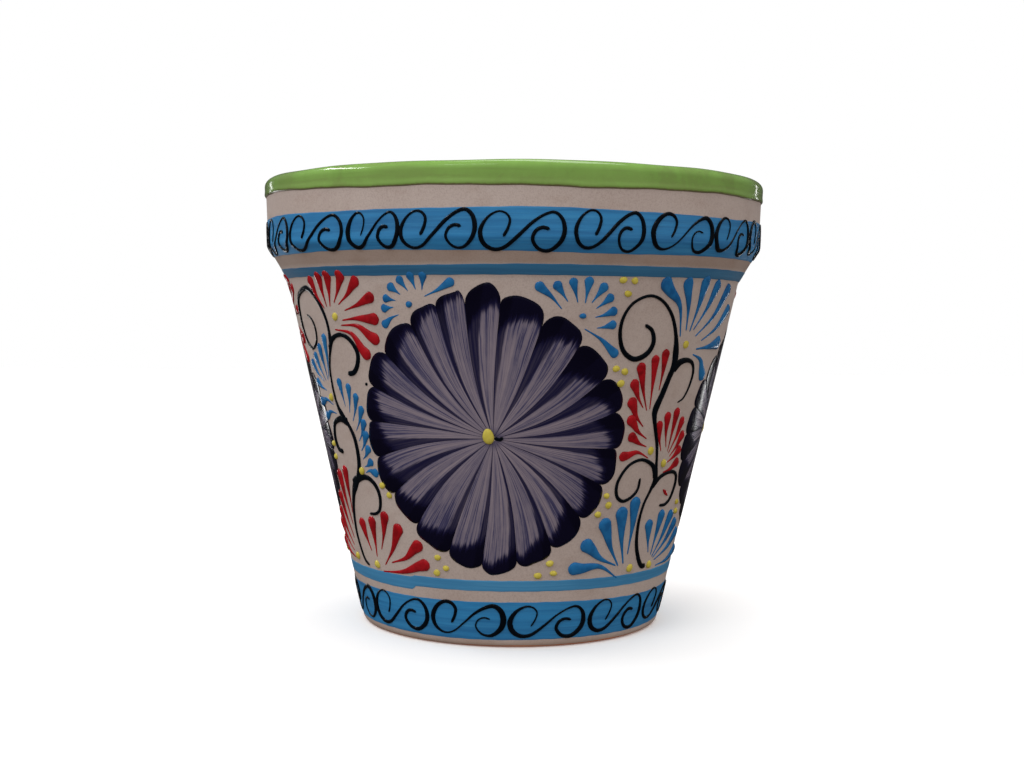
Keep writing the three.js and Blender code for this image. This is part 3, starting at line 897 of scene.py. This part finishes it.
def makeFlower(name, scale, turn, shift, darkTips):
    f = flowerShape
    angle, height = (place + move for place, move in zip(nodePlace(name + "_centre"), shift))
    verts, faces = [], []
    marks = {"across": [], "along": [], "petal": [], "depth": [], "loaded": []}
    total = 0
    for i, petal in enumerate(petals):
        u, v, x, z, lift = petalSheet(i, scale, turn)
        z = z + height
        theta = math.radians(angle) + x / surface.radius(z)
        verts.append(onSurface(theta, surface.along(z), lift).reshape(-1, 3))
        verts.append(onSurface(theta, surface.along(z), np.full_like(lift, -f["bury"])).reshape(-1, 3))
        faces += sheetFaces(*lift.shape, total)
        values = (u[None, :], v[:, None], float(i), petal[4] * darkTips / petal[1], petal[5])
        for mark, value in zip(marks.values(), values):
            mark += [np.broadcast_to(value, lift.shape).reshape(-1)] * 2
        total += lift.size * 2
    attributes = {key: np.concatenate(values) for key, values in marks.items()}
    piece = makeMesh(name + "_petals", np.concatenate(verts), faces, attributes)
    dress(piece, "flower_violet", name)
    (right, up), (wide, tall, high) = f["eyePlace"], f["eyeSize"]
    centre = Relief()
    size = scale ** 0.5
    centre.dot(angle + right, height + up, wide * size, tall * size, high * scale ** 2, lift=0.25)
    dress(centre.piece(name + "_eye"), "yellow_enamel", name + "_centre")
    speck = Relief()
    speck.stroke([(angle + a, height + z) for a, z in f["speck"]],
                 lambda t, length: 1.6 * roundEnds(t, length, 1.4), lambda t, length: 0.3, 0.4, lift=0.2)
    dress(speck.piece(name + "_speck"), "black_enamel")


# points are degrees from the vine's own line and millimetres above the foot
vineA = {
    "home": -52.5,
    "stem": [
        (-10.7, 155.2), (-8.0, 152.8), (-6.9, 148), (-8.1, 142), (-12.3, 139), (-16.2, 144.7),
        (-16.9, 155.8), (-14.6, 164), (-8.1, 167.8), (-4.3, 165.2), (-1.4, 159.1), (0.2, 151.3),
        (-0.1, 142), (-2, 134.7), (-3.3, 128), (-3.6, 119), (-3, 112.4), (-1.2, 107), (1.2, 102.6),
        (2.8, 96.9), (3.1, 90.2), (2.5, 83.6), (0.6, 77.6), (-1.9, 73.4), (-4.3, 68), (-6.5, 60.2),
        (-7.8, 50.2), (-7.2, 42.4), (-5.6, 35.8), (-3, 33.2),
    ],
    "tendrils": [
        [(-1.2, 139), (1.5, 144.2), (5.4, 146), (8.6, 143.6), (10.6, 138), (9.9, 132.4), (8, 128.6),
         (5.5, 127.7)],
        [(1.0, 104), (-1.7, 105.4), (-4.3, 104.9), (-7.5, 102.4), (-9.1, 95.8), (-8.1, 90.2), (-5.2, 89.1)],
        [(-2.6, 74), (0.8, 77), (5.4, 78.1), (8.6, 75.2), (9.9, 69.7), (9, 63.6), (6.7, 60.8), (3.5, 60.2)],
    ],
    "bold": [(12, 4.0, 1.1), (17, 4.0, 1.6), (23, 4.5, 1.8)],       # stem point, reach, extra width
    "taper": 0.1,                # how thin a tendril ends
}
vineB = {
    "home": 45,
    "stem": [
        (-12.1, 151.9), (-9.7, 149.1), (-8.7, 143.6), (-10.3, 138.6), (-13.9, 136.3), (-17.4, 140.2),
        (-18.9, 148), (-18.4, 155.8), (-16.1, 161.9), (-11.9, 164.9), (-7.7, 162.4), (-3.9, 155.8),
        (-1.3, 146.9), (-0.1, 139.1), (0.2, 133), (-0.9, 127), (-2.2, 120), (-3.8, 112.5), (-3.6, 108.5),
        (-2.4, 103), (-0.4, 94.8), (1, 85.8), (1.8, 78.5), (0.6, 73.6), (-1.3, 66.9), (-2.1, 58),
        (-1.3, 48), (1, 40.2), (3.5, 35.8), (5.8, 35.2),
    ],
    "tendrils": [
        [(0.1, 131), (2.6, 134.4), (5.8, 135.2), (8.4, 133.6), (9.8, 129.1), (9.2, 122.4), (7.4, 117.2),
         (5, 115.2)],
        [(1.6, 79), (0.6, 83), (-1.3, 86.3), (-5.8, 88.8), (-10.3, 86.3), (-13.2, 79.1), (-12.9, 72.4),
         (-10.3, 69.4), (-7.1, 71.2), (-5.2, 74.7), (-5, 80)],
        [(0.8, 74.5), (4.2, 79.4), (9, 81.1), (12.9, 79.7), (14.1, 74.7), (12.9, 68), (10.3, 65), (6.8, 65)],
    ],
    "bold": [(13, 5.0, 1.3), (14, 6.0, 1.0), (16, 8.0, 0.9), (17, 4.0, 1.2), (22, 5.0, 1.6)],
    "taper": 0.5,
}
vineLine = {
    "width": 2.1,
    "height": 0.68,
    "swell": 0.32,               # how much the width varies, and over what length
    "swellLength": 17,
    "startSwell": 0.8,           # a tendril starts thick, over this share of its length
    "startReach": 0.2,
    "taperFrom": 0.6,
    "thinStart": 0.35,           # the stem starts thin
    "thinReach": 0.04,
}


def makeVine(name, vine, turn):
    c = vineLine
    relief = Relief()
    home = vine["home"] + turn
    stem = np.array([(math.radians(a) * surface.radius(z), z) for a, z in vine["stem"]])
    steps = np.linalg.norm(np.diff(stem, axis=0), axis=1)
    stemShare = np.concatenate([[0], np.cumsum(steps)]) / steps.sum()
    for number, line in enumerate([vine["stem"]] + vine["tendrils"]):
        phase = number * 1.3 + vine["home"]
        points = [(home + a, z) for a, z in line]

        def widthOf(t, length):
            width = c["width"] * (1 + c["swell"] * math.sin(length * t / c["swellLength"] + phase))
            if number:
                width *= 1 + c["startSwell"] * math.exp(-(t / c["startReach"]) ** 2)
                width *= 1 - vine["taper"] * max(0, t - c["taperFrom"]) / (1 - c["taperFrom"])
            else:
                width *= 1 - c["thinStart"] * math.exp(-(t / c["thinReach"]) ** 2)
                for point, reach, extra in vine["bold"]:
                    width += extra * math.exp(-((t - stemShare[point]) * length / reach) ** 2)
            return width * roundEnds(t, length, 2.0)

        def heightOf(t, length):
            return c["height"] * (0.7 + 0.3 * min(widthOf(t, length) / c["width"], 1.2))

        relief.stroke(points, widthOf, heightOf, 0.8, 10)
    dress(relief.piece(name + "_line"), "black_enamel", name)


# a fan is its name, the width of its drops, its yellow dots and its drops. A drop is the degrees and height of
# its head, then of its tail, and its bend, a share of its length to the left of the way from head to tail.
fans = [
    ("red_fan_neck", 5.6, [(-48.2, 154.4)], [
        (-56.4, 171, -52.2, 158, -0.08), (-52.1, 172.6, -51, 158.6, -0.03), (-48.4, 172.8, -49.6, 158.8, 0.02),
        (-43.5, 173, -47.7, 160.6, 0.04), (-38.9, 170.6, -46.1, 159.8, 0.05), (-35, 163.3, -44.1, 157.2, 0.03),
        (-34.6, 153.4, -45.7, 152.7, -0.03), (-35.3, 144, -46.5, 150.4, -0.14),
        (-39, 136.9, -49.4, 148.4, -0.2)]),
    ("blue_fan_left_waist", 4.8, [(-58.4, 115.6)], [
        (-55.6, 144, -57.6, 124.5, 0.05), (-59.4, 139.3, -58.2, 123.6, 0), (-63.3, 135, -59.6, 123.4, -0.05),
        (-67, 131.6, -61, 123, -0.08), (-66, 122.4, -60.5, 118.6, -0.05), (-65.8, 112.6, -58, 111.8, 0.14),
        (-64, 106, -57.1, 107.8, 0.12)]),
    ("blue_feather", 4.3, [(-49, 81.1)], [
        (-52.1, 123.2, -51.3, 111.6, 0), (-48.2, 121.2, -49.8, 108.8, 0.04), (-45.7, 116.8, -49, 104.8, 0.06),
        (-44.3, 111, -48.2, 100.4, 0.06), (-44.3, 104.7, -47.8, 95.4, 0.08), (-44.3, 98.9, -47.5, 90.8, 0.08),
        (-44.3, 92.2, -47.5, 86.8, 0.08), (-44.2, 85.9, -47.4, 83.2, 0.08),
        (-42.9, 80.7, -47.4, 80.3, -0.16)]),
    ("red_fan_foot_right", 6, [(-50.2, 34.9)], [
        (-54.6, 54.4, -52.2, 41, -0.03), (-48.8, 56.2, -49.6, 38.6, 0.02), (-42.2, 59.8, -46.4, 42.8, 0.04),
        (-37.2, 54.5, -45.8, 35.4, 0.06), (-30.4, 47.6, -42.4, 37.2, 0.1), (-28.6, 38.6, -47.6, 31.9, 0.06)]),
    ("red_fan_foot_left", 6, [(-63.9, 36.3)], [
        (-59.4, 79.4, -60.6, 58, 0), (-64.5, 76.6, -62.4, 52, -0.03), (-68.6, 65.8, -64, 45, -0.05),
        (-73, 57, -65.6, 41, -0.07), (-77.6, 50.6, -67, 38, -0.08), (-80.5, 40.6, -67, 34.6, -0.06)]),
    ("blue_fan_neck", 6.6, [(48.4, 142.7)], [
        (37.2, 169.8, 45.5, 146.2, 0.15), (44.6, 170.4, 47.4, 149, 0.04), (51.4, 171.4, 48.9, 148.6, 0.03),
        (57.6, 170.2, 50.4, 149.4, 0.05), (65, 168.6, 51.9, 146.4, 0.07), (69.4, 159, 55.4, 144.3, 0.06),
        (67.2, 143.2, 53.6, 140.4, 0.02), (60.4, 127.6, 52.6, 138, -0.16)]),
    ("red_feather", 5.2, [(42.3, 92.8)], [
        (41.2, 138.2, 41.2, 121.2, 0.02), (38, 135.6, 39, 112.6, 0), (33.8, 132.2, 38, 112, -0.03),
        (32.5, 124.7, 36.6, 113.4, -0.05), (32.7, 116.2, 37.8, 104.4, -0.08), (33.3, 108, 39.9, 98.6, -0.08),
        (34.4, 100, 40.4, 94.8, -0.06), (32.4, 90.6, 42, 89.2, 0.16)]),
    ("red_fan_waist", 4.8, [(49.3, 86)], [
        (44, 104.6, 47, 91.8, -0.05), (46.9, 108.6, 49, 93.6, -0.05), (50.8, 110.2, 50.2, 91.4, 0),
        (54.4, 105.8, 50.8, 90.6, 0.05), (56.2, 98.8, 51.6, 88.8, 0.06), (56.2, 91.6, 51, 86, 0.05),
        (56.4, 85.6, 49.9, 81.4, 0.08)]),
    ("blue_fan_foot_left", 6.8, [(42.6, 35.6)], [
        (39.8, 67.6, 40.5, 42.6, 0.02), (35.2, 63.2, 39.3, 38, -0.03), (29.6, 58.6, 37.2, 37.4, -0.05),
        (24.2, 49.2, 36.2, 37.8, -0.08), (20.6, 37.6, 37.6, 31.4, 0.15)]),
    ("blue_fan_foot_right", 6, [(53.1, 35.4)], [
        (48.4, 55.8, 51.2, 41.6, -0.03), (54.4, 59.6, 53, 40, 0), (60.8, 58.4, 54, 39, 0.04),
        (66, 53.6, 54.8, 38.4, 0.05), (71.2, 48, 56, 37, 0.06), (76.4, 38.2, 58, 33.8, 0.05)]),
    ("blue_corner_left", 4.2, [], [
        (-31.4, 151.2, -27.2, 155.6, 0.08), (-31, 158.4, -28.4, 158.9, 0), (-30.2, 162.8, -27.6, 161.8, 0),
        (-28.5, 167.8, -26.2, 164.4, 0), (-26, 170.9, -24.2, 166, 0), (-23.2, 172.6, -22.2, 166.6, 0),
        (-20.2, 172.6, -20.7, 166.3, 0), (-14, 170, -20.3, 163.7, 0.03)]),
    ("blue_corner_right", 4.4, [], [
        (5.9, 168.2, 11.2, 158.4, 0.04), (9.9, 168.7, 12.5, 161.6, 0), (13.4, 170.3, 14.8, 161.2, 0),
        (17, 170.6, 16.5, 161, 0), (20.6, 168.2, 18, 161.2, 0), (22.4, 163.6, 19.2, 158.8, 0.02),
        (23.6, 157.8, 19.2, 155, 0.04), (23.8, 151.8, 19.8, 150.2, 0.03), (25.2, 138.9, 16.8, 150, -0.05)]),
    ("red_corner", 5.2, [], [
        (-72.4, 133.6, -81, 146.4, -0.12), (-72, 143.4, -79.4, 149.6, -0.06), (-72, 157.6, -79.2, 154.6, 0),
        (-72.6, 168, -79.6, 158.2, 0.04), (-77, 172.6, -81, 160, 0.03), (-82.4, 173.2, -82.2, 160.4, 0),
        (-87.8, 171.8, -83.6, 159.6, -0.03), (-92.2, 167, -84.6, 157.6, -0.04)]),
]
looseDots = {
    "yellow_enamel": [
        (25.2, 171.6), (28.2, 171.4), (26.9, 165.6), (26.3, 132), (28.9, 130.6), (28.2, 125.2), (28.6, 72.6),
        (29.7, 68), (26.5, 63.8), (12.3, 41.2), (8.7, 35.4), (13.7, 36.4), (-23.4, 42.7), (-20.8, 37.8),
        (-24.2, 35.2), (-40.8, 75.2), (-38.5, 70.8), (-63.9, 92.4), (-64.5, 85.8), (64, 64.7), (65, 60),
        (99.5, 42.0), (96.6, 37.0), (101.5, 37.0),
    ],
    "blue_enamel": [(-24.3, 160.2), (16.2, 155.6)],
}
dropShape = {
    "height": 0.2,               # as a share of the width
    "tail": 0.13,                # how thin it ends
    "thinning": 2.3,
    "sizes": 0.07,               # how much the drops of one fan differ
}
fanDot = (3.9, 4.0, 1.2)         # width, height along the wall and thickness
looseDot = {"wide": (3.2, 4.1), "tall": (0.75, 0.92), "thick": 1.1}
strayMark = {"line": ((52.2, 72.6), (53.7, 71.2), (55.2, 69.4)), "width": 2.0, "height": 0.6}
straySpeck = (-40.5, 123.3, 1.8, 1.5, 0.5)


def dropWidth(t, length, width):
    # a round head, a quick waist and a long thin tail
    head = width / length                     # the head's diameter as a share of the length
    centre = head / 2
    if t <= centre:
        return width * math.sqrt(max(0.03, 1 - (1 - t / centre) ** 2))
    fall = (t - centre) / (1 - centre)
    waist = (1 - fall) ** dropShape["thinning"] * (1 + 0.6 * fall)
    body = dropShape["tail"] + (1 - dropShape["tail"]) * waist
    return width * body * roundEnds(t, length, width * 0.25, 0, 1)


def addDrop(relief, drop, width, turn):
    headAngle, headZ, tailAngle, tailZ, bend = drop
    width *= 1 + random.uniform(-dropShape["sizes"], dropShape["sizes"])
    radius = surface.radius((headZ + tailZ) / 2)
    x = math.radians(tailAngle - headAngle) * radius
    z = tailZ - headZ
    back = width / 2 / math.hypot(x, z)       # the path starts at the head's outer edge
    middle = (x / 2 - z * bend, z / 2 + x * bend)
    neck = (x * 0.12 - z * bend * 0.3, z * 0.12 + x * bend * 0.3)
    path = [(-x * back, -z * back), neck, middle, (x, z)]
    points = [(headAngle + turn + math.degrees(px / radius), headZ + pz) for px, pz in path]

    def widthOf(t, length):
        return dropWidth(t, length, width)

    def heightOf(t, length):
        now = widthOf(t, length)
        return dropShape["height"] * (0.35 * width + 0.65 * now) * min(1.0, now / (0.5 * width) + 0.1)

    relief.stroke(points, widthOf, heightOf, 0.7, 10)


def makeFans():
    for side, turn in (("front", 0), ("back", 180)):
        for name, width, dots, drops in fans:
            relief = Relief()
            for drop in drops:
                addDrop(relief, drop, width, turn)
            dress(relief.piece(name + "_" + side), name.split("_")[0] + "_enamel")
            if dots:
                relief = Relief()
                for angle, z in dots:
                    relief.dot(angle + turn, z, *fanDot)
                dress(relief.piece(name + "_dot_" + side), "yellow_enamel")
        for slot, places in looseDots.items():
            relief = Relief()
            for angle, z in places:
                size = random.uniform(*looseDot["wide"])
                tall = size * random.uniform(*looseDot["tall"])
                relief.dot(angle + turn, z, size, tall, looseDot["thick"])
            dress(relief.piece(slot.split("_")[0] + "_dots_" + side), slot)


def makeMarks():
    def widthOf(t, length):
        return strayMark["width"] * math.sin(math.pi * min(max(t, 0.05), 0.95)) ** 0.7

    mark = Relief()
    mark.stroke(strayMark["line"], widthOf, lambda t, length: strayMark["height"], 0.5)
    dress(mark.piece("red_stray_mark"), "red_enamel")
    speck = Relief()
    speck.dot(*straySpeck)
    dress(speck.piece("black_stray_speck"), "black_enamel")


# an S on its side, in shares of its half length and half height
scrollPlan = [
    (-0.45, -0.3), (-0.34, 0.15), (-0.3, 0.62), (-0.42, 0.95), (-0.62, 0.98), (-0.85, 0.62), (-0.99, 0.0),
    (-0.93, -0.6), (-0.7, -0.93), (-0.42, -0.82), (-0.1, -0.25), (0.22, 0.42), (0.52, 0.85), (0.76, 0.96),
    (0.94, 0.6), (0.99, 0.0), (0.9, -0.55), (0.66, -0.97), (0.4, -0.9), (0.24, -0.45), (0.3, -0.02),
    (0.46, 0.18), (0.64, 0.1),
]
# listed one by one, for scrolls near the front: degrees from the CAD place, half length in degrees, rise in
# millimetres
scrollRows = {
    "collar_scroll": {
        "count": 21, "gap": 0.2, "rise": 0.45,
        "byHand": {
            -4: (0.1, 8.1, 0.5), -3: (1.2, 10.0, 0.2), -2: (1.3, 6.7, 0.4), -1: (-1.2, 8.3, 0.3),
            0: (-1.2, 8.9, -0.6), 1: (-0.3, 7.9, 0.2), 2: (0.6, 9.0, 0.4), 3: (0.9, 8.2, 0.9),
            4: (0.4, 8.0, 0.8),
        },
    },
    "foot_scroll": {
        "count": 13, "gap": 0.4, "rise": 0.6,
        "byHand": {
            -2: (-0.9, 13.6, 0.6), -1: (-0.8, 13.2, 0.4), 0: (-0.3, 13.6, -0.4), 1: (-0.3, 12.8, 0.3),
            2: (-0.3, 13.4, 0.8),
        },
    },
}
scrollLine = {
    "width": 1.85,
    "height": 0.68,
    "grow": 0.35,                # a scroll is this much taller than its CAD one, each way
    "trim": 0.5,                 # degrees left free at each end
    "wave": (0.38, 9),           # how much the width varies, and over what length
    "heavy": ((0.6, 0.25, 0.07), (0.7, 0.72, 0.09)),   # thicker turns: extra, where, reach
}


def makeScrolls():
    c = scrollLine
    for row, data in scrollRows.items():
        count = data["count"]
        for index in range(count):
            near = index if index <= count // 2 else index - count
            label = f"{row}_{index + 1:02d}"
            centre, _ = nodePlace(label)
            low, high = levels(label)
            if near in data["byHand"]:
                shift, half, rise = data["byHand"][near]
            else:
                shift = random.uniform(-0.6, 0.6)
                half = 180 / count - data["gap"] - random.uniform(0.0, 0.5)
                rise = random.uniform(-0.5, 0.5)
            centre += shift
            middle = (low + high) / 2 + data["rise"] + rise
            tall = (high - low) / 2 + c["grow"] - c["width"] / 2
            tilt = random.uniform(-0.06, 0.06)
            left, right = random.uniform(0.93, 1.05), random.uniform(0.93, 1.05)
            points = []
            for x, y in scrollPlan:
                y *= left if x < 0 else right
                points.append((centre + x * (half - c["trim"]), middle + (y + tilt * x) * tall))
            swing = random.random() * 6

            def widthOf(t, length):
                width = 0.68 * (1 + c["wave"][0] * math.sin(length * t / c["wave"][1] + swing))
                for extra, where, reach in c["heavy"]:
                    width += extra * math.exp(-((t - where) / reach) ** 2)
                return c["width"] * width * roundEnds(t, length, 2.0)

            def heightOf(t, length):
                return c["height"] * (0.5 + 0.5 * widthOf(t, length) / 2)

            relief = Relief()
            relief.stroke(points, widthOf, heightOf, 0.7, 8, lift=0.1)
            dress(relief.piece(label + "_line"), "black_enamel", label)


studio = {
    "backdrop": (1, 1, 1, 1),    # what the camera sees behind the pot
    "sky": (1.0, 0.985, 0.975, 1),
    "ground": (0.28, 0.25, 0.225, 1),
    "skyStrength": 1.07,
    "glossStrength": 0.1,        # the room that the gloss mirrors is dimmer
    "floorColour": (0.955, 0.955, 0.955, 1),
    "floorFibre": (0.985, 0.985, 0.985, 1),
    "floorGlow": 0.08,
    "floorSize": 3.0,            # metres from the middle to an edge
    "floorLevel": -0.0002,
}
# metres and watts: place, target, width, height, power, tint and whether the gloss mirrors it
lights = {
    "key_softbox": ((-0.7, -1.2, 1.2), (0, 0, 0.12), 1.0, 0.7, 6.5, (0.96, 0.98, 1.0), False),
    "lamp_strip": ((-0.35, -0.75, 1.15), (0, 0, 0.15), 0.4, 0.05, 0.4, (1, 1, 1), True),
    "fill_left": ((-1.1, -0.75, 0.12), (0, 0, 0.1), 0.8, 0.6, 0.9, (0.86, 0.97, 1.0), False),
    "fill_right": ((1.1, -0.75, 0.12), (0, 0, 0.1), 0.8, 0.6, 0.9, (1.0, 0.94, 0.87), False),
    "lamp_left": ((-0.9, 0.16, 1.0), (-0.05, -0.05, 0.2), 0.7, 0.08, 2.6, (1, 1, 1), True),
    "top_softbox": ((0.2, 0.2, 1.5), (0, 0, 0.1), 1.0, 0.5, 4.0, (1, 1, 1), True),
    "window_right": ((0.6, 0.66, 0.24), (0.09, -0.03, 0.15), 0.02, 0.2, 0.06, (1, 1, 1), True),
    "window_left": ((-0.6, 0.66, 0.24), (-0.09, -0.03, 0.15), 0.02, 0.2, 0.05, (1, 1, 1), True),
    "window_low": ((0.37, 0.32, 0.06), (0.09, -0.03, 0.1), 0.02, 0.1, 0.03, (1, 1, 1), True),
    "window_low_left": ((-0.37, 0.32, 0.06), (-0.09, -0.03, 0.12), 0.03, 0.1, 0.06, (1, 1, 1), True),
}


def makeFloor():
    size = studio["floorSize"]
    corners = [(-size, -size, 0), (size, -size, 0), (size, size, 0), (-size, size, 0)]
    data = bpy.data.meshes.new("floor")
    data.from_pydata(corners, [], [(0, 1, 2, 3)])
    floor = bpy.data.objects.new("floor", data)
    bpy.context.scene.collection.objects.link(floor)
    b = Board("floor_paper")
    fibres = b.noise(b.place(), 300.0, 3.0)
    colour = b.mix(fibres, studio["floorColour"], studio["floorFibre"])
    glow = studio["floorGlow"]
    floor.data.materials.append(b.finish(colour, 0.9, Emission_Color=(1, 1, 1, 1), Emission_Strength=glow))
    floor.location.z = studio["floorLevel"]
    floor.visible_diffuse = False             # keeps the underside of the collar in shade
    floor.visible_glossy = False


def makeWorld():
    world = bpy.data.worlds.new("studio")
    world.use_nodes = True
    b = Board("studio_world", world.node_tree)
    up = b.add("ShaderNodeSeparateXYZ", None, {0: b.add("ShaderNodeTexCoord")}, 2)
    sky = b.mix(b.smooth(up, -0.25, 0.45), studio["ground"], studio["sky"])
    seen = b.add("ShaderNodeLightPath")
    mirrored = b.add("ShaderNodeLightPath", out=3)     # 1 for a glossy ray
    strength = studio["skyStrength"] + mirrored * (studio["glossStrength"] - studio["skyStrength"])
    colour = b.mix(seen, sky, studio["backdrop"])
    strength = seen + (1 - seen) * strength
    shader = b.tree.nodes.new("ShaderNodeBackground")
    b.feed(shader.inputs["Color"], colour)
    b.feed(shader.inputs["Strength"], strength)
    output = b.tree.nodes.new("ShaderNodeOutputWorld")
    b.tree.links.new(shader.outputs[0], output.inputs[0])
    bpy.context.scene.world = world


def areaLight(name, place, target, width, height, power, tint, mirrored):
    data = bpy.data.lights.new(name, "AREA")
    data.shape = "RECTANGLE"
    data.size, data.size_y = width, height
    data.energy = power
    data.color = tint
    light = bpy.data.objects.new(name, data)
    light.location = place
    light.rotation_euler = (Vector(target) - Vector(place)).to_track_quat("-Z", "Y").to_euler()
    light.visible_camera = False
    light.visible_glossy = mirrored
    bpy.context.scene.collection.objects.link(light)


def makeStudio():
    makeWorld()
    view = bpy.context.scene.view_settings
    view.view_transform = "Standard"
    view.look = "None"
    for name, values in lights.items():
        areaLight(name, *values)
    makeFloor()


makeCamera()
print("camera set")
materials = makeMaterials()
print("materials ready:", len(materials))
makeClay()
makeSlip()
makeGlaze()
print("pot, slip and glaze made")
for bandName, bandData in bandRows.items():
    makeBand(bandName, bandData)
print("bands painted")
for flowerName, flowerData in flowers.items():
    makeFlower(flowerName, **flowerData)
print("flowers painted")
for vineName, vineData, vineTurn in (("front_left", vineA, 0), ("front_right", vineB, 0),
                                     ("back_right", vineA, 180), ("back_left", vineB, 180)):
    makeVine(vineName + "_vine", vineData, vineTurn)
print("vines drawn")
makeFans()
makeMarks()
print("fans and dots set")
makeScrolls()
print("scrolls drawn")
makeStudio()
print("studio lit")
